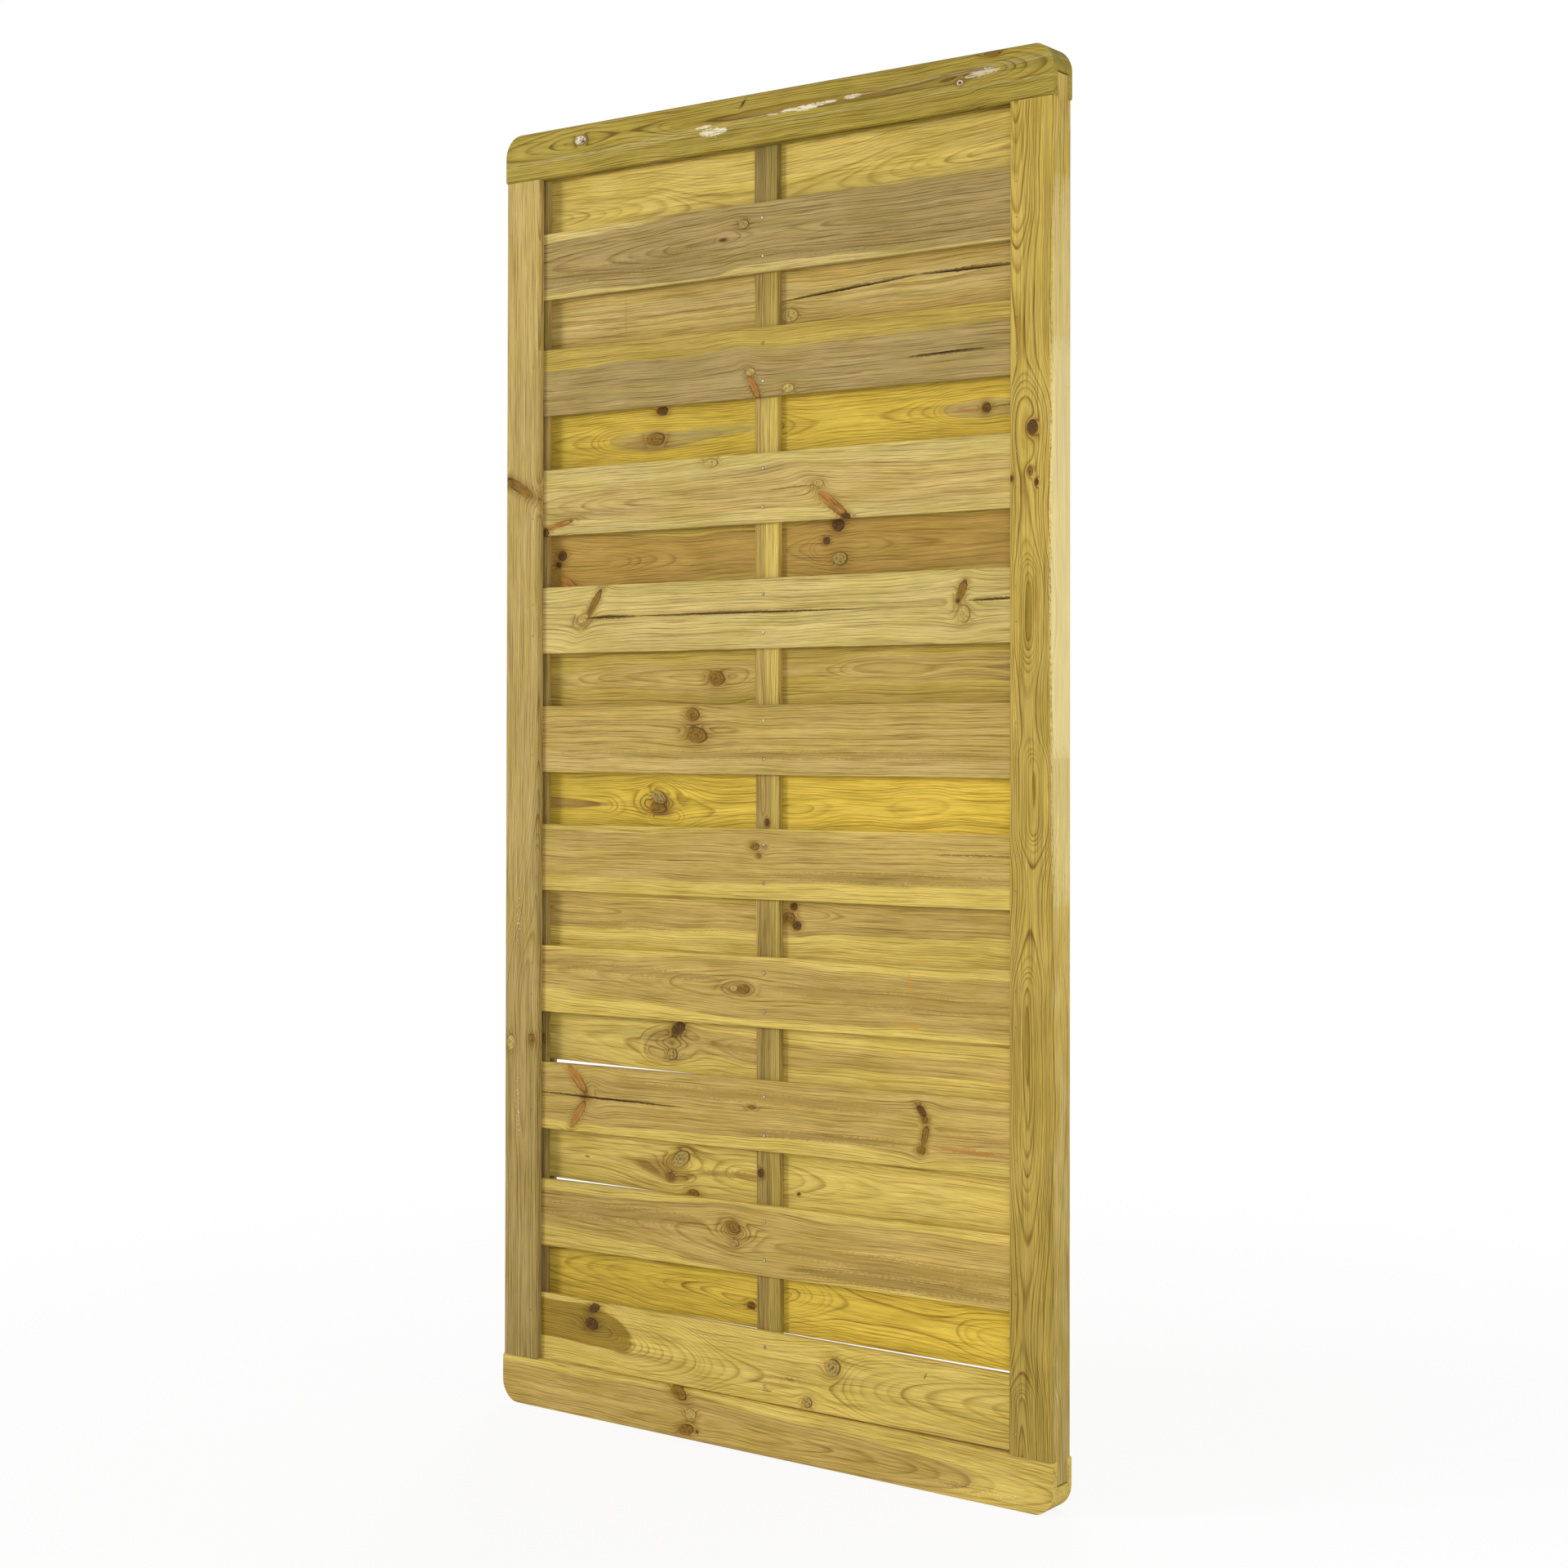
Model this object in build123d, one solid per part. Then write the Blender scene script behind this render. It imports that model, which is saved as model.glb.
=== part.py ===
from build123d import *
import math
import os

# Privacy fence panel in pressure-treated pine. Millimetres, +Z up, front face towards -Y.
# The origin is under the middle of the panel, on the plane that the bottom rail stands on.

# Panel outline
panel_width = 900.0
panel_height = 1800.0
frame_thickness = 45.0
corner_radius = 32.0

# Frame members
rail_width = 68.0
stile_width = 63.0
stile_setback = 0.5  # the stiles' outer faces lie this far behind the rail ends
edge_radius = 5.0  # rounding moulded along every long edge

# Double groove along the inner edge of every frame member
lip = 9.6
groove_width = 8.6
groove_depth = 18.0

# Bridle joints at the corners
tenon_length = 30.0
tenon_end_gap = 2.0
joint_clearance = 0.1

# Slats, the front row and the rear row half a pitch apart
slat_pairs = 10
slat_width = 93.3
slat_thickness = 8.0
slat_arris = 0.8  # planed off each long corner
slat_end_play = 2.0  # from a slat's end to the floor of its groove
top_bite = 7.0  # how far the top rear slat reaches into the top rail
bottom_gap = 0.4  # from the bottom rail to the bottom front slat

# How each slat of this panel has settled, from the top down: up in mm, and tilt in degrees, right end up
front_rise = (0.0, 0.0, -1.3, -1.3, -3.0, -1.7, -5.0, -2.0, -0.5, 0.0)
front_tilt = (0.15, -0.1, 0.3, 0.3, 0.25, 0.5, 0.8, 1.0, 1.0, 0.2)
rear_rise = (0.0, 0.0, -0.5, -1.3, -2.2, -2.4, -3.3, 4.5, 4.6, 7.8)
rear_tilt = (0.1, 0.0, 0.1, 0.3, 0.3, 0.35, 0.6, 0.05, 0.15, 0.45)

# Drying splits, open in the face towards the front: their ends, along the slat and up it from its middle,
# and their widest opening
split_depth = 5.0
splits = {
    "front_slat_02": (((236.0, -12.0), (342.0, -9.0), 2.0),),
    "front_slat_04": (
        ((-303.0, 1.5), (-225.0, 2.5), 3.0),
        ((-218.0, 2.5), (160.0, 1.0), 1.8),
        ((322.0, 6.5), (398.0, 8.5), 2.4),
    ),
    "front_slat_08": (((-398.0, 4.0), (-135.0, 1.0), 1.8),),
    "rear_slat_02": (((14.0, -3.0), (232.0, 10.5), 2.2), ((238.0, 11.0), (398.0, 10.0), 2.6)),
}

# Upright batten between the two rows of slats
batten_width = 38.0
batten_clearance = 0.1
batten_end_gap = 0.5
batten_arris = 0.6
batten_offset = 3.0  # of its middle from the panel's middle, to the right
batten_lean = 0.28  # degrees, foot to the right

# Round nails, two through each slat into the batten
nail_spread = 51.0
nail_length = 15.0
nail_diameter = 1.8
nail_head_diameter = 4.0
nail_head_height = 0.4
nail_facets = 8  # flats that stand for the round wire

# Headless pins of flat wire, two through the stile into each slat end
pin_inset = 11.0  # from the stile's inner edge
pin_spread = 44.0
pin_length = 17.0
pin_sink = 0.2
pin_width = 1.4
pin_height = 1.8
fastener_clearance = 0.05

# Sizes that follow from the ones above
groove_offset = frame_thickness / 2 - lip - groove_width / 2
tongue = 2 * groove_offset - groove_width
slat_play = (groove_width - slat_thickness) / 2
stile_outer = panel_width / 2 - stile_setback
stile_inner = stile_outer - stile_width
slat_length = 2 * (stile_inner + groove_depth - slat_end_play)
slot_thickness = frame_thickness - 2 * lip
inner_height = panel_height - 2 * rail_width
rear_lift = (inner_height + top_bite - bottom_gap - slat_width) / (2 * slat_pairs - 1)
batten_thickness = tongue + 2 * (slat_play - batten_clearance)
slat_face = groove_offset + slat_thickness / 2


def member_section(width):
    """Cross-section of a frame member, its grooved inner edge towards +X."""
    blank = RectangleRounded(width, frame_thickness, edge_radius)
    groove = Rectangle(groove_depth, groove_width)
    groove_x = (width - groove_depth) / 2
    return blank - Pos(groove_x, groove_offset) * groove - Pos(groove_x, -groove_offset) * groove


def planed_section(width, thickness, arris):
    """Cross-section of a planed board with its four corners eased."""
    board = Rectangle(width, thickness)
    return chamfer(board.vertices(), arris)


def make_bottom_rail():
    """Rail with rounded lower corners and an open slot in each end for a stile's tenon."""
    along = Plane(origin=(0, 0, rail_width / 2), x_dir=(0, 0, 1), z_dir=(1, 0, 0))
    bar = extrude(along * member_section(rail_width), amount=panel_width / 2, both=True)
    outline = Rectangle(panel_width, rail_width)
    outline = fillet(outline.vertices().sort_by(Axis.Y)[:2], corner_radius)
    upright = Plane(origin=(0, 0, rail_width / 2), x_dir=(1, 0, 0), z_dir=(0, -1, 0))
    rail = bar & extrude(upright * outline, amount=frame_thickness, both=True)
    slot_run = panel_width / 2 - stile_inner + joint_clearance
    slot_depth = tenon_length + tenon_end_gap
    slot = Box(slot_run, slot_thickness, slot_depth)
    for side in (-1, 1):
        slot_x = side * (panel_width - slot_run) / 2
        rail -= Pos(slot_x, 0, rail_width - slot_depth / 2) * slot
    return rail


def make_left_stile():
    """Stile with a tenon at each end, between square shoulders that meet the rails."""
    section = member_section(stile_width)
    tenon = section & Rectangle(stile_width, slot_thickness - 2 * joint_clearance)
    shoulder_height = inner_height - 2 * joint_clearance
    body = extrude(section, amount=shoulder_height / 2, both=True)
    core = extrude(tenon, amount=shoulder_height / 2 + tenon_length, both=True)
    return Pos(-(stile_outer + stile_inner) / 2, 0, panel_height / 2) * (body + core)


def slat_height(rise, lift):
    """Heights of the middles of one row of slats, from the top down."""
    lowest = rail_width + bottom_gap + slat_width / 2 + lift
    steps = range(slat_pairs)
    return [lowest + 2 * rear_lift * (slat_pairs - 1 - n) + rise[n % len(rise)] for n in steps]


def make_split(start, end, opening):
    """Spindle-shaped split in a slat that lies along X with its middle at the origin."""
    middle_x = (start[0] + end[0]) / 2
    middle_z = (start[1] + end[1]) / 2
    corners = (start, (middle_x, middle_z - opening / 2), end, (middle_x, middle_z + opening / 2))
    spindle = extrude(Plane.XZ * Polygon(*corners, align=None), amount=split_depth, both=True)
    return Pos(0, -slat_thickness / 2, 0) * spindle


def make_slat(name, height, tilt, face):
    """One slat in the front row (face -1) or the rear row (face 1), with its splits."""
    section = planed_section(slat_width, slat_thickness, slat_arris)
    along = Plane(origin=(0, 0, 0), x_dir=(0, 0, 1), z_dir=(1, 0, 0))
    board = extrude(along * section, amount=slat_length / 2, both=True)
    for split in splits.get(name, ()):
        board -= make_split(*split)
    return Pos(0, face * groove_offset, height) * Rot(0, -tilt, 0) * board


def make_batten():
    """Upright batten from rail to rail, in line with the tongues of the frame."""
    section = planed_section(batten_width, batten_thickness, batten_arris)
    bar = extrude(section, amount=inner_height / 2 - batten_end_gap, both=True)
    return Pos(batten_offset, 0, panel_height / 2) * Rot(0, -batten_lean, 0) * bar


def batten_x(height):
    """Where the batten's middle line is at a height."""
    return batten_offset - math.tan(math.radians(batten_lean)) * (height - panel_height / 2)


def make_nail(height, face, clearance):
    """Nail through a slat into the batten, or its hole where there is a clearance."""
    wire = RegularPolygon(nail_diameter / 2 + clearance, nail_facets)
    nail = extrude(wire, amount=-nail_length - clearance)
    if clearance == 0:
        nail += extrude(RegularPolygon(nail_head_diameter / 2, nail_facets), amount=nail_head_height)
    # The local +Z axis points out of the slat's face.
    return Pos(batten_x(height), face * slat_face, height) * Rot(-face * 90, 0, 0) * nail


def make_pin(height, face, side, clearance):
    """Pin through a stile's lip into a slat's end, or its hole where there is a clearance."""
    outer = frame_thickness / 2 - (pin_sink if clearance == 0 else 0.0)
    inner = frame_thickness / 2 - pin_sink - pin_length - clearance
    wire = Box(pin_width + 2 * clearance, outer - inner, pin_height + 2 * clearance)
    return Pos(side * (stile_inner + pin_inset), face * (outer + inner) / 2, height) * wire


def pair_heights(middle, spread):
    """Two heights about a slat's middle."""
    return (middle - spread / 2, middle + spread / 2)


def pin_heights(middle, tilt, side):
    """Heights of the two pins at one end of a tilted slat."""
    end_rise = side * (stile_inner + pin_inset) * math.tan(math.radians(tilt))
    return pair_heights(middle + end_rise, pin_spread)


nodes = {}
nodes["bottom_rail"] = make_bottom_rail()
nodes["top_rail"] = Pos(0, 0, panel_height) * Rot(180, 0, 0) * nodes["bottom_rail"]
stiles = {-1: make_left_stile()}
stiles[1] = Rot(0, 0, 180) * stiles[-1]
batten = make_batten()

rows = (
    ("front", -1, slat_height(front_rise, 0.0), front_tilt),
    ("rear", 1, slat_height(rear_rise, rear_lift), rear_tilt),
)
for row, face, heights, tilts in rows:
    nails = []
    pins = {-1: [], 1: []}
    for n, height in enumerate(heights):
        name = f"{row}_slat_{n + 1:02d}"
        tilt = tilts[n % len(tilts)]
        slat = make_slat(name, height, tilt, face)
        for nail_z in pair_heights(height, nail_spread):
            nails.append(make_nail(nail_z, face, 0.0))
            hole = make_nail(nail_z, face, fastener_clearance)
            slat -= hole
            batten -= hole
        for side in (-1, 1):
            for pin_z in pin_heights(height, tilt, side):
                pins[side].append(make_pin(pin_z, face, side, 0.0))
                hole = make_pin(pin_z, face, side, fastener_clearance)
                slat -= hole
                stiles[side] -= hole
        nodes[name] = slat
    nodes[f"{row}_batten_nails"] = Compound(children=nails)
    nodes[f"{row}_left_pins"] = Compound(children=pins[-1])
    nodes[f"{row}_right_pins"] = Compound(children=pins[1])

nodes["left_stile"] = stiles[-1]
nodes["right_stile"] = stiles[1]
nodes["centre_batten"] = batten

os.makedirs("parts", exist_ok=True)
for name, solid in nodes.items():
    export_step(solid, f"parts/{name}.step")
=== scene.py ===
import math
import bpy
from mathutils import Euler, Matrix, Vector


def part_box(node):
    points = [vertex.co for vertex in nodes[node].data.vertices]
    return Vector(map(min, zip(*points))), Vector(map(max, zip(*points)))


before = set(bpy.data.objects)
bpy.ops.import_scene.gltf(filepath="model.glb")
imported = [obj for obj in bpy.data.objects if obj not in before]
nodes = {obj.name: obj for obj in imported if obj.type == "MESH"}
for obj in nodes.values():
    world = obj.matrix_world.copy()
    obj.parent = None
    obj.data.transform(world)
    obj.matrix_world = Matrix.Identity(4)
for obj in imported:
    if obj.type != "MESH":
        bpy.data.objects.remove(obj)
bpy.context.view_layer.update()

mm = 1000.0  # the wood's figure is written in millimetres
print("frame loaded:", len(nodes), "pieces")


def tint(red, green, blue):  # a screen colour, 0 to 255, as the light that it stands for
    linear = []
    for value in (red, green, blue):
        share = value / 255
        linear.append(share / 12.92 if share <= 0.04045 else ((share + 0.055) / 1.055) ** 2.4)
    return (*linear, 1.0)


class Wire:  # one socket of a material, with arithmetic
    def __init__(self, paint, socket):
        self.paint = paint
        self.socket = socket

    def calc(self, operation, *values):
        return self.paint.node("ShaderNodeMath", {"operation": operation}, dict(enumerate(values)))

    def __add__(self, other):
        return self.calc("ADD", self, other)

    def __sub__(self, other):
        return self.calc("SUBTRACT", self, other)

    def __rsub__(self, other):
        return self.calc("SUBTRACT", other, self)

    def __mul__(self, other):
        return self.calc("MULTIPLY", self, other)

    def __rtruediv__(self, other):
        return self.calc("DIVIDE", other, self)

    def __abs__(self):
        return self.calc("ABSOLUTE", self)

    __radd__ = __add__
    __rmul__ = __mul__

    def root(self):
        return self.calc("SQRT", self)

    def sine(self):
        return self.calc("SINE", self)

    def part(self):
        return self.calc("FRACT", self)

    def whole(self):
        return self.calc("FLOOR", self)

    def most(self, other):
        return self.calc("MAXIMUM", self, other)

    def least(self, other):
        return self.calc("MINIMUM", self, other)

    def ease(self, start, end, low=0.0, high=1.0):  # low before start, high after end, smooth between
        limits = {"Value": self, "From Min": start, "From Max": end, "To Min": low, "To Max": high}
        return self.paint.node("ShaderNodeMapRange", {"interpolation_type": "SMOOTHSTEP"}, limits)


class Paint:  # the nodes of one material, or of the world
    def __init__(self, owner):
        owner.use_nodes = True
        self.tree = owner.node_tree
        self.tree.nodes.clear()

    def node(self, kind, settings, sockets, output=0):
        made = self.tree.nodes.new(kind)
        for key, value in settings.items():
            if key == "stops":
                self.fillRamp(made.color_ramp, value)
            elif key == "points":
                self.fillCurve(made.mapping, value)
            else:
                setattr(made, key, value)
        for key, value in sockets.items():
            if isinstance(value, Wire):
                self.tree.links.new(value.socket, made.inputs[key])
            else:
                made.inputs[key].default_value = value
        return Wire(self, made.outputs[output]) if made.outputs else made

    def fillRamp(self, ramp, stops):
        while len(ramp.elements) < len(stops):
            ramp.elements.new(0.5)
        for element, (place, level) in zip(ramp.elements, stops):
            element.position = place
            element.color = (level, level, level, 1.0)

    def fillCurve(self, mapping, points):
        curve = mapping.curves[0]
        curve.points[0].location = points[0]
        curve.points[1].location = points[-1]
        for share, level in points[1:-1]:
            curve.points.new(share, level)
        mapping.update()

    def place(self):  # where a point of the surface is, in millimetres
        coord = self.node("ShaderNodeTexCoord", {}, {}, "Object")
        return [self.node("ShaderNodeSeparateXYZ", {}, {"Vector": coord}, axis) * mm for axis in "XYZ"]

    def noise(self, x, y, z, detail=2.0):
        vector = self.node("ShaderNodeCombineXYZ", {}, {"X": x, "Y": y, "Z": z})
        sockets = {"Vector": vector, "Scale": 1.0, "Detail": detail}
        return self.node("ShaderNodeTexNoise", {}, sockets)

    def chance(self, value):  # a random share for each whole number
        return self.node("ShaderNodeTexWhiteNoise", {"noise_dimensions": "1D"}, {"W": value})

    def ramp(self, value, stops):
        return self.node("ShaderNodeValToRGB", {"stops": stops}, {"Fac": value})

    def mix(self, share, first, second, blend="MIX"):
        settings = {"data_type": "RGBA", "blend_type": blend}
        return self.node("ShaderNodeMix", settings, {0: share, 6: first, 7: second}, 2)

    def path(self, share, values):  # a smooth curve through (share, value) points
        heights = [value for _, value in values]
        low = min(heights)
        span = max(max(heights) - low, 0.01)
        points = [(place, (value - low) / span) for place, value in values]
        return self.node("ShaderNodeFloatCurve", {"points": points}, {"Value": share}) * span + low

    def finish(self, colour, rough, height, shine):
        bump = self.node("ShaderNodeBump", {}, {"Strength": 1.0, "Distance": 1 / mm, "Height": height})
        shader = {"Base Color": colour, "Roughness": rough, "Normal": bump, **shine}
        surface = self.node("ShaderNodeBsdfPrincipled", {}, shader)
        self.node("ShaderNodeOutputMaterial", {}, {"Surface": surface})


# Tones of the treated pine.
pineTones = {
    "cream": tint(198, 177, 110),
    "dun": tint(190, 165, 100),
    "straw": tint(205, 180, 95),
    "gold": tint(210, 180, 70),
    "tan": tint(185, 158, 88),
    "olive": tint(180, 155, 75),
    "brown": tint(170, 138, 68),
    "grey": tint(165, 143, 90),
    "moss": tint(170, 150, 65),
    "bark": tint(148, 122, 45),
}

# Knots: their heart, their rim, and how far they brown the wood round them.
knotTones = {
    "brown": (tint(138, 102, 32), tint(84, 58, 12), 0.6),
    "dark": (tint(88, 58, 16), tint(40, 25, 6), 0.65),
    "grey": (tint(170, 148, 82), tint(84, 66, 22), 0.4),
    "red": (tint(176, 122, 54), tint(104, 66, 20), 0.4),
    "pale": (tint(192, 168, 96), tint(128, 102, 42), 0.35),
    "chalk": (tint(228, 222, 204), tint(112, 92, 44), 0.4),
}

# Lines and stains along or across the grain, with painted shade in the cracks and a painted sheen.
streakTones = {
    # a crack: its own dark edge, with painted shade of the split's depth
    "crack": tint(80, 57, 22),
    "dark": tint(112, 86, 34),
    "brown": tint(150, 118, 54),
    "red": tint(164, 110, 50),
    "resin": tint(196, 142, 52),
    "grey": tint(152, 138, 84),
    "chalk": tint(226, 218, 190),
    # painted sheen: a pale highlight along an edge that the light catches
    "bleached": tint(230, 220, 168),
}

# Grain of the treated pine. Lengths are in millimetres.
pineGrain = {
    "wander": 5.0,  # how far the grain strays over a hand's length
    "lateTint": (0.42, 0.33, 0.17, 1.0),  # late wood, as a share of the early wood's colour
    "threadTint": (0.52, 0.44, 0.28, 1.0),  # thin dark threads between the rings
    "haloTint": (0.58, 0.44, 0.22, 1.0),  # resin round the knots
    "washTint": (0.86, 0.86, 0.62, 1.0),  # where the treatment took more strongly
    "headRingTint": (0.16, 0.12, 0.06, 1.0),  # darker round a nail's head
    "strayLump": (140, 80),  # length and width of the grain's slow bends
    "stripeLump": (290, 8),
    "threadLump": (110, 1.5),
    "fibreLump": (26, 0.8),
    "washLump": (120, 30),
    "breakLump": (60, 14),  # where the rings show more or less
    "stripeLevel": (0.8, 0.63),  # contrast and base level of the broad stripes
    "fibreLevel": (0.9, 0.56),
    "threadRange": (0.5, 0.7),
    "threadDepth": 0.85,
    "washRange": (0.4, 0.65),
    "washDepth": 0.6,
    "breakRange": (0.25, 0.6, 0.45, 1.0),
    "growth": (0.09, 2.5),  # how fast good and bad years change, and by how many rings
    "ringLevel": (0.8, 0.3),  # how much the rings differ, and their least tone
    "roughSpread": 0.16,
    "ringProfile": ((0.0, 0.1), (0.3, 0.0), (0.62, 0.25), (0.86, 1.0), (0.95, 0.75), (1.0, 0.1)),
    "heartEdge": 2.2,
    "nailRing": (1.2, 3.6, 0.85),  # from and to this far from a nail's middle, and how dark
    "pinRing": (0.7, 2.2, 0.5),
    "roughness": 0.74,
    "fibreRelief": 0.14,
    "crackRelief": 1.0,
    "shine": {"Specular IOR Level": 0.18},
}


def leanOf(name, run, rise, middle):  # how far a settled board lies off level, as a slope
    if "slat" not in name and "batten" not in name:
        return 0.0
    top = 0.0
    bottom = 0.0
    for vertex in nodes[name].data.vertices:
        offset = vertex.co * mm - middle
        top += getattr(offset, run) * getattr(offset, rise)
        bottom += getattr(offset, run) ** 2
    return top / bottom


def headPlaces(name):  # the middle of each nail of a row, in millimetres
    vertices = nodes[name].data.vertices
    corners = sorted((vertex.co * mm for vertex in vertices), key=lambda corner: corner.z)
    heads = [[corners[0]]]
    for corner in corners[1:]:
        if corner.z - heads[-1][-1].z > 10.0:
            heads.append([])
        heads[-1].append(corner)
    return [sum(head, Vector()) / len(head) for head in heads]


def nailsOf(name):  # the nails through a slat, or the pins through a stile's front
    if "stile" in name:
        return headPlaces(f"front_{name.split('_')[0]}_pins")
    if "slat" not in name:
        return []
    low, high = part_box(name)
    row = name.split("_")[0]
    return [head for head in headPlaces(f"{row}_batten_nails") if low.z * mm < head.z < high.z * mm]


class Grain:  # where a point lies in its board: along the grain, across it, and behind its front face
    def __init__(self, paint, name, look, seed):
        run, rise = look.get("grain", "xz")
        low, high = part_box(name)
        middle = (low + high) * (mm / 2)
        self.paint = paint
        self.seed = seed
        self.x, y, self.z = paint.place()
        self.along = getattr(self, run)
        self.first = getattr(low, run) * mm
        self.last = getattr(high, run) * mm
        off = (self.along - getattr(middle, run)) * leanOf(name, run, rise, middle)
        self.across = getattr(self, rise) - getattr(middle, rise) - off
        self.deep = y - low.y * mm
        self.share = (self.along - self.first) * (1 / (self.last - self.first))
        self.shiver = self.cloud(60, 14, 2.0) - 0.5  # the grain's small waves
        self.fray = self.cloud(5, 3, 2.0) - 0.5  # torn edges
        self.mottle = self.cloud(4, 4, 3.0)  # the hearts of knots

    def cloud(self, length, width, detail, row=None):  # noise in lumps this long and wide
        row = self.across if row is None else row
        aside = self.along * (1 / length) + self.seed
        return self.paint.noise(aside, row * (1 / width), self.deep * (1 / width), detail)

    def path(self, values):  # a smooth curve through (place along, value) points
        span = self.last - self.first
        return self.paint.path(self.share, [((place - self.first) / span, value) for place, value in values])


def knotAt(grain, knot):  # how far out a point is from a knot's middle, 1 at its rim
    place, row, length, width, turn, _ = knot
    aside = grain.along - place
    above = grain.across - row
    cosine = math.cos(math.radians(turn))
    sine = math.sin(math.radians(turn))
    far = aside * (cosine / length) + above * (sine / length)
    wide = above * (cosine / width) - aside * (sine / width)
    return (far * far + wide * wide).root(), far, wide, above


# Shape of the knots. Distances from a knot's middle are shares of its size.
knotForm = {
    "torn": 0.18,  # how ragged the rim is
    "wavy": 0.6,
    "splitFrom": 2.2,  # past this many widths long, a branch is cut lengthwise and shows its fibres
    "fibres": (1.6, 4.5),  # along and across such a branch
    "rings": (15.0, 9.0, 0.05),  # spacing, waves and depth of the rings in a round knot
    "paler": 0.1,
    "heartRange": (0.3, 0.72),
    "rimPlace": 0.95,
    "rimRange": (0.02, 0.2),
    "rimSide": (2.0, 6.0),  # one side of the rim stands out, with waves
    "rimSideRange": (-1.8, 1.4, 0.15, 0.95),
    "haloRange": (0.7, 2.6),
    "fillRange": (0.72, 1.05),
    "fill": 0.9,
    "pull": 0.85,  # how far the grain gives way to a knot
    "pullReach": 0.8,
    "eyeRings": 5.0,  # rings added round a knot
    "eyeTone": 0.25,
}


def paintKnot(grain, colour, knot, rim, far, wide):
    paint = grain.paint
    core, edge, halo = knotTones[knot[5]]
    ragged = rim + grain.fray * knotForm["torn"] + grain.shiver * knotForm["wavy"]
    if knot[2] > knotForm["splitFrom"] * knot[3]:
        along, across = knotForm["fibres"]
        lines = paint.noise(far * along, wide * across, grain.seed, 2.0)
    else:
        spacing, waves, depth = knotForm["rings"]
        lines = (rim * spacing + grain.shiver * waves).sine() * depth + grain.mottle
    inner = paint.mix((lines - rim * knotForm["paler"]).ease(*knotForm["heartRange"]), core, edge)
    tilt, waves = knotForm["rimSide"]
    darker = (far * tilt + grain.shiver * waves).ease(*knotForm["rimSideRange"])
    line = abs(ragged - knotForm["rimPlace"]).ease(*knotForm["rimRange"], 1.0, 0.0) * darker
    around = ragged.ease(*knotForm["haloRange"], halo, 0.0)
    filled = ragged.ease(*knotForm["fillRange"], knotForm["fill"], 0.0)
    colour = paint.mix(around, colour, pineGrain["haloTint"], "MULTIPLY")
    colour = paint.mix(filled, colour, inner)
    return paint.mix(line, colour, edge)


# Shape of the lines, stains and dust.
streakForm = {
    "wavy": 3.0,  # millimetres that a line strays
    "torn": 2.4,
    "softEdge": (-0.25, 0.4),  # in half widths
    "chalkLump": (24, 1.7),  # chalk is rubbed on by hand, so it breaks up
    "chalkRange": (0.34, 0.5),
    "dustLump": (4, 2),
    "dustThins": 0.1,
    "dustRange": (0.56, 0.63),
    "dustEdge": (0.8, 1.3, 0.75, 0.0),
}


def streakAt(grain, streak):  # 1 on a tapering, torn line
    startAlong, startRow, endAlong, endRow, width, tone = streak[:6]
    length = math.hypot(endAlong - startAlong, endRow - startRow)
    cosine = (endAlong - startAlong) / length
    sine = (endRow - startRow) / length
    aside = grain.along - startAlong
    above = grain.across - startRow + grain.shiver * streakForm["wavy"]
    share = aside * (cosine / length) + above * (sine / length)
    off = abs(above * cosine - aside * sine)
    taper = (share * (1.0 - share) * 4.0).most(0.0).root()
    reach = taper * width * (grain.fray * streakForm["torn"] + 1.0)
    outer, inner = streakForm["softEdge"]
    line = (reach - off).ease(outer * width, inner * width)
    if tone == "chalk":
        line = line * grain.cloud(*streakForm["chalkLump"], 2.0).ease(*streakForm["chalkRange"])
    return line


def dustAt(grain, place, row, length, width):
    rim = knotAt(grain, (place, row, length, width, 0, ""))[0]
    lumps = grain.cloud(*streakForm["dustLump"], 2.0)
    specks = (lumps - rim * streakForm["dustThins"]).ease(*streakForm["dustRange"])
    return specks * rim.ease(*streakForm["dustEdge"])


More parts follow.
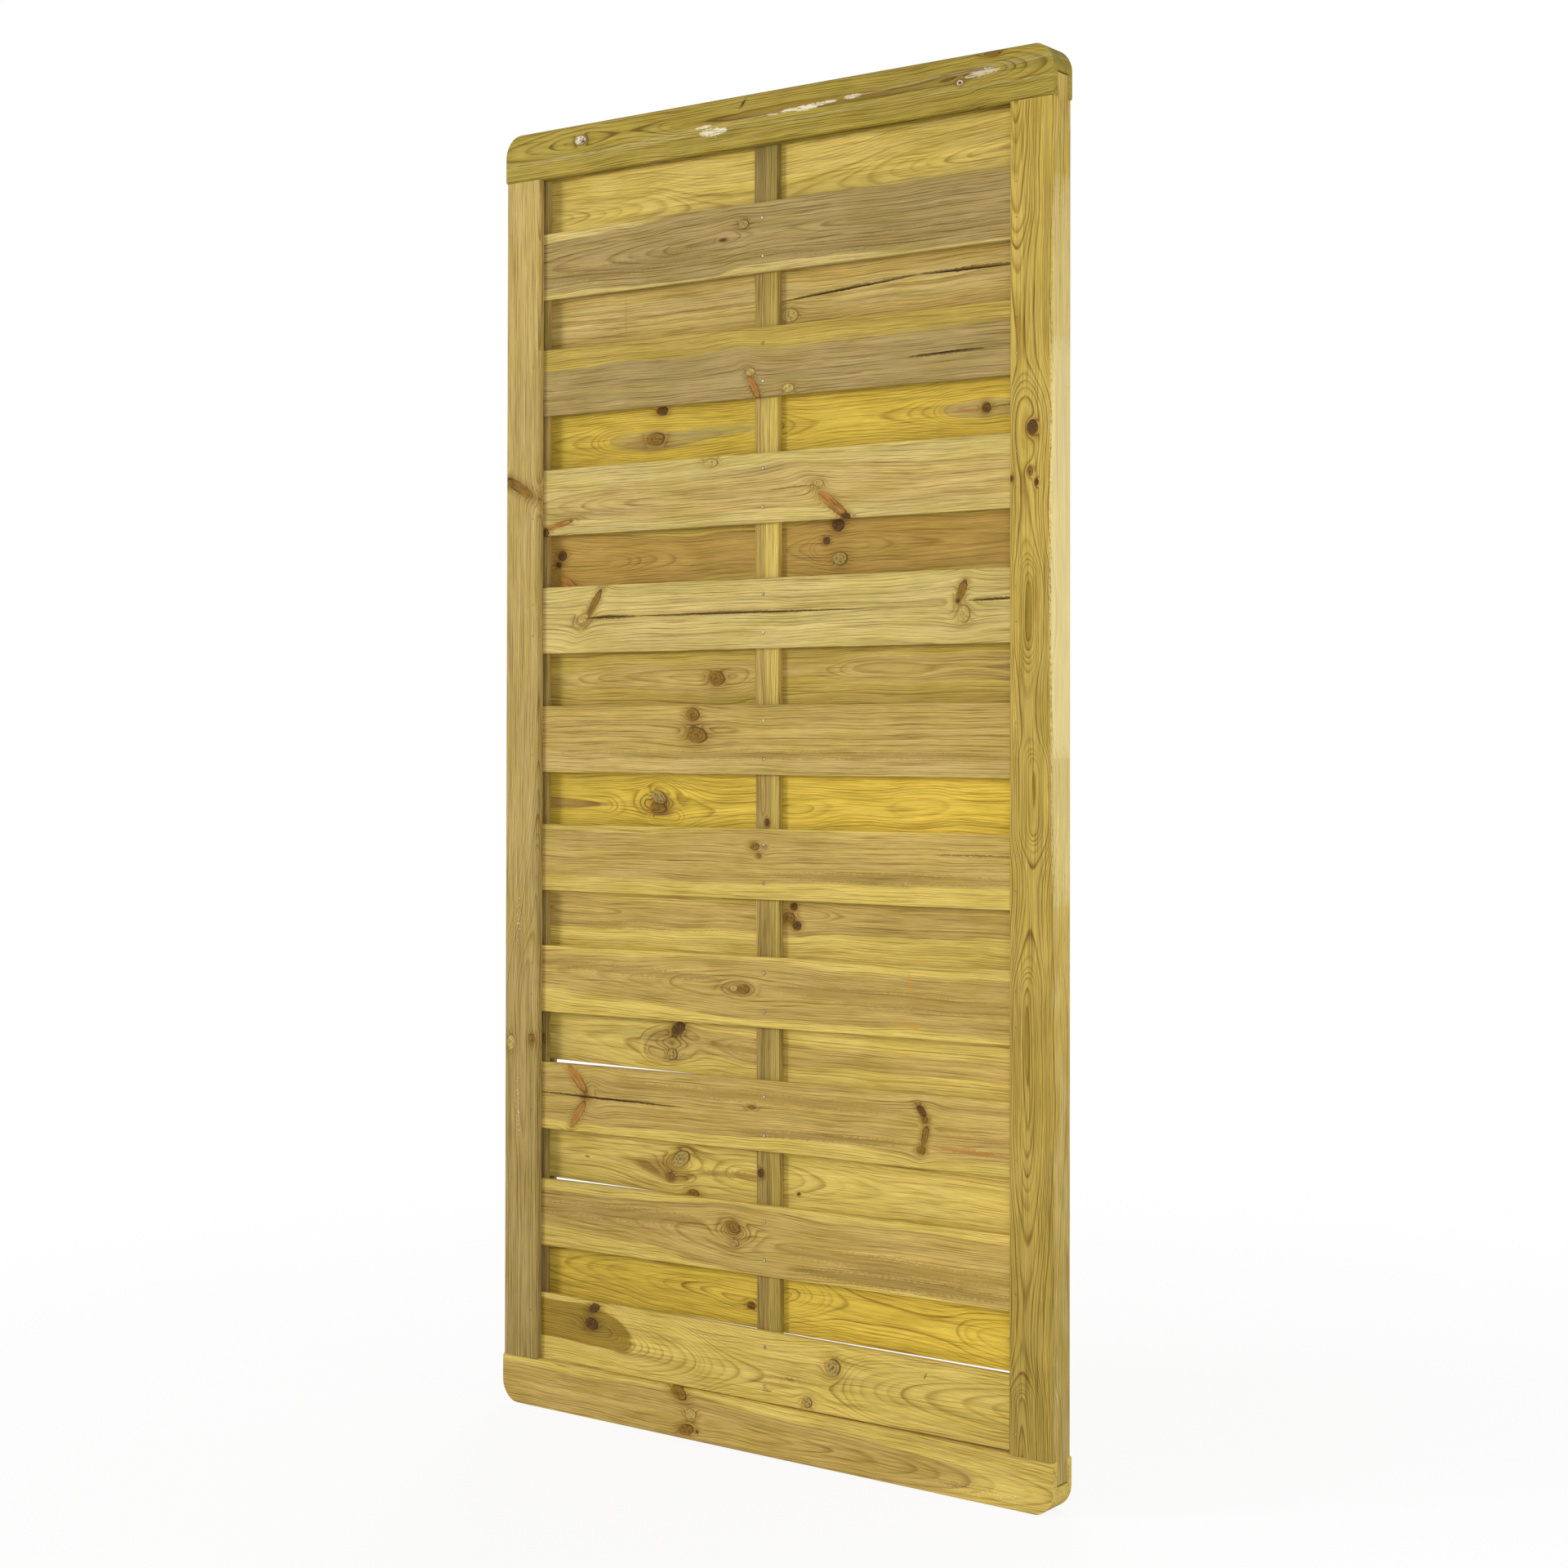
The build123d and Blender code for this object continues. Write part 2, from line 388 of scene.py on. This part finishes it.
def woodMaterial(name, look, seed):
    material = bpy.data.materials.new(name + "_pine")
    paint = Paint(material)
    grain = Grain(paint, name, look, seed)

    # The grain strays slowly, and flows round the knots.
    stray = grain.cloud(*pineGrain["strayLump"], 1.0) - 0.5
    flow = grain.across + stray * (2 * look.get("wander", pineGrain["wander"])) + grain.shiver * 2.0
    bulge = 0.0
    spots = []
    for knot in look.get("knots", ()):
        rim, far, wide, above = knotAt(grain, knot)
        pull = 1.0 / (rim * rim * knotForm["pullReach"] + 1.0)
        flow = flow - above * pull * knotForm["pull"]
        bulge = bulge + pull * pull * knotForm["eyeRings"]
        if knot[5] != "swirl":  # a swirl only turns the grain
            spots.append((knot, rim, far, wide))

    # Growth rings about the pith, which lies in front of the face and runs off along the board.
    side = flow - grain.path([(place, row) for place, row, _ in look["pith"]])
    back = grain.deep + grain.path([(place, depth) for place, _, depth in look["pith"]])
    radius = (side * side + back * back).root()
    pace, years = pineGrain["growth"]
    growth = paint.noise(radius * pace + seed, 0.0, 0.0, 1.0) * years
    rings = radius * (1 / look["gap"]) + growth + bulge + seed
    late = paint.ramp(rings.part(), pineGrain["ringProfile"])
    spread, least = pineGrain["ringLevel"]
    ringTone = paint.chance(rings.whole()) * spread + least + bulge * knotForm["eyeTone"]

    # Colour: sapwood and heartwood, where the treatment took, late wood, threads, stripes and fibres.
    stripe = grain.cloud(*pineGrain["stripeLump"], 3.0, flow)
    thread = grain.cloud(*pineGrain["threadLump"], 2.0, flow)
    fibre = grain.cloud(*pineGrain["fibreLump"], 3.0)
    edge = pineGrain["heartEdge"]
    heartRadius = look.get("heartRadius", 0.0)
    heart = (radius + stripe * 10.0 - 5.0).ease(heartRadius - edge, heartRadius + edge, 1.0, 0.0)
    wash = grain.cloud(*pineGrain["washLump"], 2.0).ease(*pineGrain["washRange"])
    broken = grain.cloud(*pineGrain["breakLump"], 2.0).ease(*pineGrain["breakRange"])
    colour = paint.mix(heart, pineTones[look["sap"]], pineTones[look["heart"]])
    colour = paint.mix(wash * pineGrain["washDepth"], colour, pineGrain["washTint"], "MULTIPLY")
    colour = paint.mix(late * ringTone * broken * look["figure"], colour, pineGrain["lateTint"], "MULTIPLY")
    threads = thread.ease(*pineGrain["threadRange"], 0.0, pineGrain["threadDepth"])
    colour = paint.mix(threads, colour, pineGrain["threadTint"], "MULTIPLY")
    for layer, (contrast, base) in ((stripe, pineGrain["stripeLevel"]), (fibre, pineGrain["fibreLevel"])):
        colour = paint.mix(1.0, colour, layer * contrast + base, "MULTIPLY")
    # brightness along the board: painted light on the slats, brighter towards the right end; on the other
    # boards, darker or brighter along the board
    if "toneAndLight" in look:
        colour = paint.mix(1.0, colour, grain.path(look["toneAndLight"]), "MULTIPLY")

    # Marks on top of the grain.
    spread = pineGrain["roughSpread"]
    rough = fibre * spread + (pineGrain["roughness"] - spread / 2)
    height = fibre * pineGrain["fibreRelief"]
    for spot in spots:
        colour = paintKnot(grain, colour, *spot)
    for streak in look.get("streaks", ()):
        tone, strength = streak[5:]
        line = streakAt(grain, streak) * strength
        colour = paint.mix(line, colour, streakTones[tone])
        # a crack's line is partly painted shade of the split, and it is also cut into the bump
        if tone == "crack":
            height = height - line * pineGrain["crackRelief"]
    for dust in look.get("dust", ()):
        colour = paint.mix(dustAt(grain, *dust), colour, streakTones["chalk"])
    # darker round each nail's or pin's head
    nearestHead = 99.0
    for head in nailsOf(name):
        aside = grain.x - head.x
        above = grain.z - head.z
        nearestHead = (aside * aside + above * above).least(nearestHead)
    if nailsOf(name):
        near, reach, depth = pineGrain["pinRing" if "stile" in name else "nailRing"]
        headRing = (nearestHead.root() + grain.fray).ease(near, reach, depth, 0.0)
        colour = paint.mix(headRing, colour, pineGrain["headRingTint"], "MULTIPLY")
    paint.finish(colour, rough, height, pineGrain["shine"])
    return material


# Painted light along a slat: brighter towards its right end, where the light fell more strongly.
slatEnd = 402
litToRight = [(-slatEnd, 0.92), (slatEnd, 1.08)]
moreLitToRight = [(-slatEnd, 0.85), (slatEnd, 1.15)]

# Each board's figure, in millimetres along the board and up from its middle.
# pith: (place, row, depth before the front face)
# knots: (place, row, half length, half width, turn, tone)
# streaks: (from place, row, to place, row, half width, tone, strength)
# dust: (place, row, half length, half width)
# tone and painted light along the board: (place, level); on the slats it is painted light, brighter towards
# the right end; on the other boards, darker or brighter along the board
boardLooks = {
    "top_rail": dict(
        sap="moss", heart="bark", heartRadius=9, gap=3.0, figure=1.05,
        toneAndLight=[(-450, 1.0), (450, 0.9)],
        pith=[(-450, 6, 22), (-370, 10, 16), (-310, 12, 13), (-230, 12, 16), (-120, 8, 9), (60, 6, 6),
              (250, 5, 7), (315, 5, 5), (360, 10, 10), (430, 8, 22), (450, 8, 25)],
        knots=[(-310, 11, 11, 7, 0, "chalk"), (-306, 9, 3, 2, 0, "dark"), (315, 0, 5, 4, 0, "chalk"),
               (315, 0, 2, 1.5, 0, "dark"), (362, 29, 12, 3.5, 0, "brown"),
               (-26, 22, 5, 1.6, 45, "dark")],
        streaks=[(-100, -9, -52, -9, 5.0, "chalk", 0.9), (-107, -1, -78, 0, 2, "chalk", 0.8),
                 (35, 2, 128, 5, 2.4, "chalk", 0.9), (60, 1, 100, 3, 2.6, "chalk", 0.85),
                 (138, 6, 166, 7, 2.6, "chalk", 0.8), (14, 1, 34, 1, 1.5, "chalk", 0.6),
                 (322, 6, 374, 10, 4.0, "chalk", 0.6)],
    ),
    "bottom_rail": dict(
        sap="straw", heart="tan", heartRadius=30, gap=3.4, figure=0.7,
        pith=[(-450, -6, 6), (-150, -4, 6), (0, -6, 10), (150, -8, 16), (300, -8, 25), (350, -8, 30),
              (450, -8, 38)],
        knots=[(-132, 28, 15, 8, -25, "brown"), (-110, 2, 10, 7, 0, "pale"),
               (-119, -20, 13, 7, 15, "brown"), (-99, -20, 2, 2, 0, "dark")],
        dust=[(345, -18, 75, 9)],
    ),
    "left_stile": dict(
        grain="zx", sap="dun", heart="tan", gap=3.0, figure=0.75, wander=2.5,
        toneAndLight=[(36, 0.65), (900, 0.85), (1764, 1.0)],
        pith=[(36, 10, 14), (300, 8, 16), (510, 4, 12), (700, 30, 20), (1000, 70, 24), (1296, 74, 24),
              (1764, 60, 20)],
        knots=[(1296, -3, 30, 7, -62, "brown"), (1304, -25, 6, 6, 0, "brown"),
               (510, -19, 11, 7, 0, "pale"), (516, 21, 8, 6, 0, "brown")],
        dust=[(415, -6, 55, 5), (685, -4, 40, 5)],
    ),
    "right_stile": dict(
        grain="zx", sap="olive", heart="bark", heartRadius=7, gap=2.6, figure=1.1,
        toneAndLight=[(36, 0.85), (900, 1.05), (1764, 1.15)],
        pith=[(36, -12, 5), (140, -12, 12), (220, -8, 26), (300, -6, 24), (425, -4, 13), (520, -4, 7),
              (580, -4, 6), (640, -3, 9), (760, 2, 24), (840, 4, 10), (900, 3, 9), (960, -2, 20),
              (1060, -3, 8), (1100, -3, 5), (1150, -4, 9), (1250, -8, 22), (1330, -6, 18),
              (1420, -14, 32), (1600, -20, 22), (1764, -22, 9)],
        knots=[(1327, 2, 10, 8, 0, "dark"), (1274, -1, 6, 4, 0, "brown"), (1260, 8, 4, 3, 0, "dark"),
               (1266, -28, 4, 3, 0, "dark")],
        # painted sheen along the outer rounded edge and the side face, where the light catches them
        streaks=[(740, 32, 1640, 32, 5, "bleached", 0.27), (920, 32, 1440, 32, 5, "bleached", 0.3)],
    ),
    "centre_batten": dict(
        grain="zx", sap="straw", heart="tan", heartRadius=15, gap=3.0, figure=0.8,
        toneAndLight=[(69, 0.62), (362, 0.67), (693, 0.72), (860, 0.76), (1026, 0.9), (1193, 1.02),
              (1360, 0.95), (1526, 0.72), (1731, 0.46)],
        pith=[(69, -13, 12), (300, -10, 8), (500, -8, 6), (800, -6, 12), (860, -6, 5), (1100, -14, 10),
              (1731, -10, 7)],
        knots=[(832, 0, 5, 4, 0, "dark"), (367, -12, 6, 5, 0, "dark")],
    ),
    "front_slat_01": dict(
        sap="cream", heart="grey", heartRadius=44, gap=3.6, figure=0.85,
        pith=[(-402, -5, 26), (-280, -2, 20), (-180, 0, 12), (-80, 3, 5), (0, 8, 14), (120, 4, 10),
              (402, 0, 6)],
        knots=[(-32, 20, 9, 6, 0, "grey"), (-67, 3, 6, 2, 0, "dark")],
        streaks=[(-402, -22, -60, -8, 10, "dark", 0.3), (0, -26, 402, -22, 9, "dark", 0.25)],
    ),
    "front_slat_02": dict(
        sap="olive", heart="grey", heartRadius=40, gap=3.0, figure=0.6,
        pith=[(-402, -24, 6), (0, -22, 8), (402, -20, 5)],
        knots=[(-14, -33, 18, 6, -62, "red"), (-20, -12, 7, 5, 0, "pale"), (43, -38, 9, 6, 0, "pale")],
        streaks=[(230, -12, 346, -9, 1.7, "crack", 0.8)],
    ),
    "front_slat_03": dict(
        sap="cream", heart="dun", heartRadius=28, gap=3.6, figure=0.6,
        toneAndLight=litToRight,
        pith=[(-402, -9, 26), (-345, -9, 20), (-250, -9, 13), (-100, -6, 8), (90, -2, 4), (250, -4, 8),
              (402, -4, 10)],
        knots=[(114, -27, 29, 7, -38, "red"), (134, -44, 8, 4, 0, "dark"), (92, 1, 8, 5, 0, "pale"),
               (-358, -32, 26, 4, 12, "red"), (-384, -42, 8, 6, 0, "dark"),
               (-86, 39, 12, 6, 0, "pale")],
        streaks=[(10, -3, 92, -1, 1.0, "dark", 0.8)],
    ),
    "front_slat_04": dict(
        sap="cream", heart="dun", heartRadius=12, gap=3.8, figure=0.6,
        pith=[(-402, 2, 12), (0, 3, 10), (250, 4, 14), (402, 5, 9)],
        knots=[(-293, 20, 25, 5.5, 55, "brown"), (-313, 1, 12, 6, 20, "pale"),
               (312, 19, 14, 6, 65, "brown"), (306, 6, 3, 2.5, 0, "dark"),
               (315, -10, 10, 11, 0, "pale")],
        streaks=[(-306, 1.5, -215, 2.5, 2.4, "crack", 0.7), (-215, 2.5, 165, 1, 1.5, "crack", 0.7),
                 (320, 6.5, 402, 8.5, 1.6, "crack", 0.65)],
    ),
    "front_slat_05": dict(
        sap="dun", heart="tan", heartRadius=35, gap=3.0, figure=0.7,
        pith=[(-402, 11, 8), (-110, 14, 5), (0, 11, 8), (402, 10, 8)],
        knots=[(-117, 34, 11, 9, 0, "brown"), (-111, 7, 18, 11, -10, "brown")],
        streaks=[(-400, -21, 400, -20, 5, "dark", 0.28)],
    ),
    "front_slat_06": dict(
        sap="straw", heart="tan", heartRadius=33, gap=3.0, figure=0.65,
        toneAndLight=litToRight,
        pith=[(-402, 6, 8), (0, 9, 6), (402, 13, 8)],
        knots=[(-12, 23, 8, 5, 0, "brown"), (5, 23, 4, 3, 0, "grey"), (-5, 11, 4, 3, 0, "brown")],
        streaks=[(270, 19, 402, 20, 1.2, "dark", 0.8), (0, -14, 400, -13, 7, "dark", 0.32)],
    ),
    "front_slat_07": dict(
        sap="straw", heart="tan", heartRadius=36, gap=3.3, figure=0.7,
        pith=[(-402, 14, 26), (-190, 8, 17), (-60, 4, 4), (100, 0, 8), (402, -3, 10)],
        knots=[(-40, 3, 34, 11, 0, "swirl"), (-30, 3, 10, 6, 0, "brown"), (-46, 3, 6, 4, 0, "pale")],
        streaks=[(-402, 24, -70, 14, 6, "dark", 0.35), (10, 6, 402, -6, 10, "brown", 0.45),
                 (236, 8, 234, 38, 3, "resin", 0.35), (205, -29, 252, -29, 3, "resin", 0.4),
                 (243, -35, 249, -28, 4, "resin", 0.8)],
    ),
    "front_slat_08": dict(
        sap="straw", heart="tan", heartRadius=38, gap=3.4, figure=0.65,
        toneAndLight=litToRight,
        pith=[(-402, 2, 6), (0, 8, 6), (402, 6, 8)],
        knots=[(-321, 27, 24, 7, -47, "red"), (-319, -22, 24, 6, 57, "red"),
               (-309, 3, 6, 3, 0, "brown"), (-16, 10, 7, 3, 0, "brown"), (252, 27, 9, 5, -45, "dark"),
               (257, 15, 5, 4, 0, "brown"), (258, -6, 13, 5, 75, "brown"),
               (252, -24, 7, 5, 0, "brown")],
        streaks=[(-402, 4, -130, 1, 1.5, "crack", 0.75), (262, -17, 395, -24, 3, "red", 0.6),
                 (262, -3, 395, -2, 2, "red", 0.4), (-60, -24, 250, -18, 5, "dark", 0.4),
                 (-280, 24, 240, 22, 7, "brown", 0.5)],
    ),
    "front_slat_09": dict(
        sap="straw", heart="tan", heartRadius=40, gap=3.2, figure=0.7,
        toneAndLight=moreLitToRight,
        pith=[(-402, 8, 34), (-250, 6, 30), (-75, 0, 16), (100, -3, 8), (402, -5, 6)],
        knots=[(-47, 5, 38, 16, 0, "swirl"), (-47, 13, 13, 8, -15, "brown"),
               (-44, -8, 7, 5, 0, "grey")],
        streaks=[(40, -32, 402, -33, 8, "dark", 0.45), (-402, 8, -90, 14, 11, "dark", 0.35),
                 (20, -8, 402, -14, 10, "brown", 0.5)],
    ),
    "front_slat_10": dict(
        sap="straw", heart="bark", heartRadius=27, gap=2.6, figure=0.8,
        pith=[(-402, 14, 8), (-290, 12, 10), (-212, -4, 28), (-120, -10, 44), (-20, -13, 60),
              (90, -8, 62), (180, -3, 50), (402, 2, 34)],
        knots=[(-289, 37, 11, 6, 20, "dark"), (-294, 15, 12, 8, 0, "dark"),
               (116, 15, 12, 11, 25, "grey"), (75, -36, 8, 7, 0, "grey")],
        streaks=[(0, -12, 110, -10, 3, "brown", 0.5), (40, -10, 56, -10, 2, "dark", 0.6),
                 (2, -31, 18, -30, 1.4, "dark", 0.7), (257, 22, 261, 30, 1.2, "dark", 0.7)],
    ),
    "rear_slat_01": dict(
        sap="straw", heart="tan", heartRadius=8, gap=3.4, figure=0.75,
        pith=[(-402, -14, 5), (-230, -16, 22), (-60, -30, 34), (100, -24, 32), (200, -17, 22),
              (300, -12, 12), (402, -8, 4)],
    ),
    "rear_slat_02": dict(
        sap="tan", heart="dun", heartRadius=22, gap=3.4, figure=0.7,
        pith=[(-402, 2, 6), (0, -2, 8), (402, 8, 6)],
        knots=[(32, -22, 14, 9, 0, "pale")],
        streaks=[(12, -3, 236, 11, 1.9, "crack", 0.8), (236, 11, 402, 10, 2.1, "crack", 0.8),
                 (-166, 0, -30, 2, 1.2, "dark", 0.5), (-250, -35, -250, 35, 1.0, "brown", 0.5)],
    ),
    "rear_slat_03": dict(
        sap="gold", heart="tan", heartRadius=11, gap=3.0, figure=0.8,
        # painted light: brighter towards the right end
        toneAndLight=[(-402, 0.82), (402, 0.95)],
        pith=[(-402, -4, 26), (-320, -3, 20), (-200, -5, 6), (-100, -3, 10), (0, -2, 16), (120, 0, 26),
              (250, 0, 18), (340, 0, 4), (402, 0, 8)],
        knots=[(-196, -5, 17, 9, 0, "brown"), (-185, 33, 10, 6, 0, "dark"), (337, 0, 7, 6, 0, "dark")],
        streaks=[(-255, -10, -208, -8, 2, "red", 0.7), (-170, -1, -15, 0, 7, "grey", 0.5),
                 (285, -3, 332, -1, 1.6, "red", 0.8), (342, 0, 402, 3, 1.6, "dark", 0.7)],
    ),
    "rear_slat_04": dict(
        sap="olive", heart="brown", heartRadius=38, gap=3.4, figure=0.65,
        pith=[(-402, -2, 6), (-280, -2, 10), (-190, -4, 20), (-60, 0, 26), (60, 0, 18), (110, 0, 8),
              (200, 2, 14), (402, 0, 20)],
        knots=[(-366, 8, 9, 7, 0, "dark"), (-373, -4, 5, 4, 0, "dark"), (-355, -31, 19, 7, -30, "red"),
               (110, 29, 10, 8, 0, "dark"), (92, 10, 6, 5, 0, "dark"), (114, -15, 12, 9, 0, "grey")],
    ),
    "rear_slat_05": dict(
        sap="olive", heart="tan", heartRadius=21, gap=3.2, figure=0.75,
        pith=[(-402, 4, 22), (-310, 2, 16), (-200, 2, 10), (-90, 0, 5), (-30, 4, 13), (60, 8, 19),
              (98, 9, 17), (200, 8, 10), (300, 9, 13), (402, 8, 6)],
        knots=[(-90, -1, 14, 10, 0, "brown")],
    ),
    "rear_slat_06": dict(
        sap="gold", heart="brown", heartRadius=9, gap=3.4, figure=0.9,
        toneAndLight=moreLitToRight,
        pith=[(-402, -7, 4), (-284, -8, 9), (-220, -8, 16), (-190, -6, 8), (-140, -12, 16),
              (-30, -10, 24), (40, -8, 12), (133, -6, 20), (190, -5, 18), (230, -5, 14), (290, -4, 19),
              (330, -4, 21), (402, -3, 12)],
        knots=[(-190, -4, 36, 14, 0, "swirl"), (-189, 3, 14, 9, -25, "grey"),
               (-191, -12, 16, 7, 0, "brown")],
    ),
    "rear_slat_07": dict(
        sap="straw", heart="tan", heartRadius=22, gap=3.2, figure=0.75,
        pith=[(-402, 14, 14), (-330, 13, 8), (-200, 12, 12), (0, 14, 12), (40, 16, 4), (120, 18, 10),
              (300, 18, 13), (402, 18, 10)],
        knots=[(40, 29, 6, 5, 0, "dark"), (33, 14, 9, 7, 0, "brown"), (45, 4, 7, 6, 0, "dark")],
        streaks=[(-402, -8, -60, -6, 5, "dark", 0.25)],
    ),
    "rear_slat_08": dict(
        sap="straw", heart="tan", heartRadius=17, gap=3.6, figure=0.7,
        toneAndLight=moreLitToRight,
        pith=[(-402, -4, 30), (-300, -8, 26), (-224, -12, 20), (-160, -8, 6), (-100, -6, 14),
              (-21, -8, 8), (30, -8, 10), (150, -8, 12), (402, -6, 10)],
        knots=[(-164, -8, 42, 14, 0, "swirl"), (-155, 12, 13, 8, 35, "dark"),
               (-165, -23, 9, 8, 0, "grey")],
        streaks=[(-105, -8, -10, -8, 5, "brown", 0.5)],
    ),
    "rear_slat_09": dict(
        sap="straw", heart="brown", heartRadius=9, gap=4.4, figure=0.7,
        toneAndLight=moreLitToRight,
        pith=[(-402, -4, 14), (-250, -6, 10), (-160, -10, 4), (-100, -8, 14), (-30, -8, 7),
              (30, -7, 14), (93, -7, 24), (200, -8, 32), (402, -4, 36)],
        knots=[(-150, -6, 40, 16, 0, "swirl"), (-150, 2, 17, 10, 30, "grey"),
               (-167, -23, 6, 5, 0, "brown"), (-128, -43, 11, 6, 0, "brown"),
               (49, -24, 3, 2, 20, "dark")],
        streaks=[(-322, -12, -312, -12, 1.5, "dark", 0.8), (-115, -12, -12, -8, 5, "brown", 0.6)],
    ),
    "rear_slat_10": dict(
        sap="gold", heart="brown", heartRadius=0, gap=3.8, figure=0.95,
        # painted light: brighter towards the right end
        toneAndLight=[(-402, 0.75), (402, 1.15)],
        pith=[(-402, 2, 36), (-249, 0, 24), (-194, -4, 19), (-100, -6, 10), (-29, -12, 6), (30, 2, 10),
              (70, 6, 20), (150, 0, 34), (250, -5, 36), (314, -8, 28), (402, -10, 16)],
        knots=[(-29, -18, 7, 5, 0, "dark")],
        streaks=[(-60, -18, -10, -18, 1.2, "dark", 0.6)],
    ),
}

for seed, (name, look) in enumerate(boardLooks.items()):
    nodes[name].data.materials.clear()
    nodes[name].data.materials.append(woodMaterial(name, look, seed * 1.37))
print("boards finished:", len(boardLooks))


# Zinc-coated nails and pins, dulled by the treatment.
zincSteel = {
    "bright": tint(186, 180, 162),
    "dull": tint(118, 108, 84),
    "roughness": 0.45,
    "relief": 0.05,
    "shine": {"Metallic": 0.35, "Specular IOR Level": 0.4},
}


def zincMaterial():
    material = bpy.data.materials.new("zinc_steel")
    paint = Paint(material)
    x, y, z = paint.place()
    cloud = paint.noise(x * 0.3, y * 0.3, z * 0.3, 3.0)
    grit = paint.noise(x * 2.0, y * 2.0, z * 2.0, 2.0)
    colour = paint.mix(cloud.ease(0.35, 0.65), zincSteel["bright"], zincSteel["dull"])
    rough = cloud * 0.2 + zincSteel["roughness"]
    paint.finish(colour, rough, grit * zincSteel["relief"], zincSteel["shine"])
    return material


zinc = zincMaterial()
for name, piece in nodes.items():
    if name not in boardLooks:
        piece.data.materials.clear()
        piece.data.materials.append(zinc)
print("fasteners finished")


# Floor, world and lamps. Camera and mirror rays see plain white; the floor keeps part of its shade.
studio = {
    "floorSize": 14.0,
    "floorTone": (0.9, 0.9, 0.89, 1.0),
    "floorShade": 0.12,  # share of the floor's own shading that the camera sees beside the panel
    "floorFade": (0.5, 2.4),  # metres over which that share dies away
    "skyTone": (1.0, 0.99, 0.97, 1.0),
    "skyStrength": 0.44,
    "lamps": {  # place, aim, size in metres, and power in watts
        "key": ((-4.0, -4.2, 2.2), (0.0, 0.0, 0.8), 1.8, 170.0),
        "fill": ((2.8, -3.6, 1.3), (0.2, 0.0, 0.8), 2.2, 50.0),
        "back": ((-2.8, 4.2, 2.0), (0.0, 0.0, 0.8), 2.0, 110.0),
        "side": ((1.75, -0.1, 1.0), (0.45, 0.0, 1.0), 0.5, 9.5),
    },
}


def whiteRays(paint):  # 1 for what the camera, mirrors and glass look at
    rays = [paint.node("ShaderNodeLightPath", {}, {}, kind)
            for kind in ("Is Camera Ray", "Is Glossy Ray", "Is Transmission Ray")]
    return rays[0].most(rays[1]).most(rays[2])


def floorMaterial():
    material = bpy.data.materials.new("pale_floor")
    paint = Paint(material)
    shade = paint.node("ShaderNodeBsdfDiffuse", {}, {"Color": studio["floorTone"]})
    glow = paint.node("ShaderNodeEmission", {}, {"Color": (1.0, 1.0, 1.0, 1.0), "Strength": 1.0})
    x, y, _ = paint.place()
    start, end = studio["floorFade"]
    seen = (x * x + y * y).root().ease(start * mm, end * mm, studio["floorShade"], 0.0)
    share = whiteRays(paint) * (1.0 - seen)
    mixed = paint.node("ShaderNodeMixShader", {}, {0: share, 1: shade, 2: glow})
    paint.node("ShaderNodeOutputMaterial", {}, {"Surface": mixed})
    return material


def makeFloor():
    half = studio["floorSize"] / 2
    mesh = bpy.data.meshes.new("floor")
    corners = [(-half, -half, 0), (half, -half, 0), (half, half, 0), (-half, half, 0)]
    mesh.from_pydata(corners, [], [(0, 1, 2, 3)])
    floor = bpy.data.objects.new("floor", mesh)
    floor.data.materials.append(floorMaterial())
    bpy.context.scene.collection.objects.link(floor)


def makeSky():
    world = bpy.data.worlds.new("studio")
    paint = Paint(world)
    sky = {"Color": studio["skyTone"], "Strength": studio["skyStrength"]}
    light = paint.node("ShaderNodeBackground", {}, sky)
    white = paint.node("ShaderNodeBackground", {}, {"Color": (1.0, 1.0, 1.0, 1.0), "Strength": 1.0})
    mixed = paint.node("ShaderNodeMixShader", {}, {0: whiteRays(paint), 1: light, 2: white})
    paint.node("ShaderNodeOutputWorld", {}, {"Surface": mixed})
    bpy.context.scene.world = world


def makeLamp(name, place, aim, size, power):
    lamp = bpy.data.lights.new(name, "AREA")
    lamp.shape = "DISK"
    lamp.size = size
    lamp.energy = power
    holder = bpy.data.objects.new(name, lamp)
    holder.location = place
    holder.rotation_euler = (Vector(aim) - Vector(place)).to_track_quat("-Z", "Y").to_euler()
    bpy.context.scene.collection.objects.link(holder)


makeFloor()
makeSky()
for name, lamp in studio["lamps"].items():
    makeLamp(name, *lamp)
print("studio set")


# Camera, from the photograph's perspective.
viewpoint = {
    "place": (2.0087, -2.6998, 0.9738),  # metres
    "turn": 36.278,  # degrees, to the left
    "rise": 0.570,
    "roll": 0.096,
    "focal": 58.17,  # millimetres, on a 36 mm frame
    "drop": -0.0595,  # lens shift, as a share of the frame
}


def makeCamera():
    camera = bpy.data.cameras.new("camera")
    camera.sensor_width = 36.0
    camera.lens = viewpoint["focal"]
    camera.shift_y = viewpoint["drop"]
    holder = bpy.data.objects.new("camera", camera)
    aim = Euler((math.radians(90 + viewpoint["rise"]), 0.0, math.radians(viewpoint["turn"]))).to_matrix()
    roll = Matrix.Rotation(math.radians(viewpoint["roll"]), 3, "Z")
    holder.matrix_world = Matrix.Translation(viewpoint["place"]) @ (aim @ roll).to_4x4()
    bpy.context.scene.collection.objects.link(holder)
    bpy.context.scene.camera = holder


makeCamera()
bpy.context.scene.view_settings.view_transform = "Standard"
print("camera set")
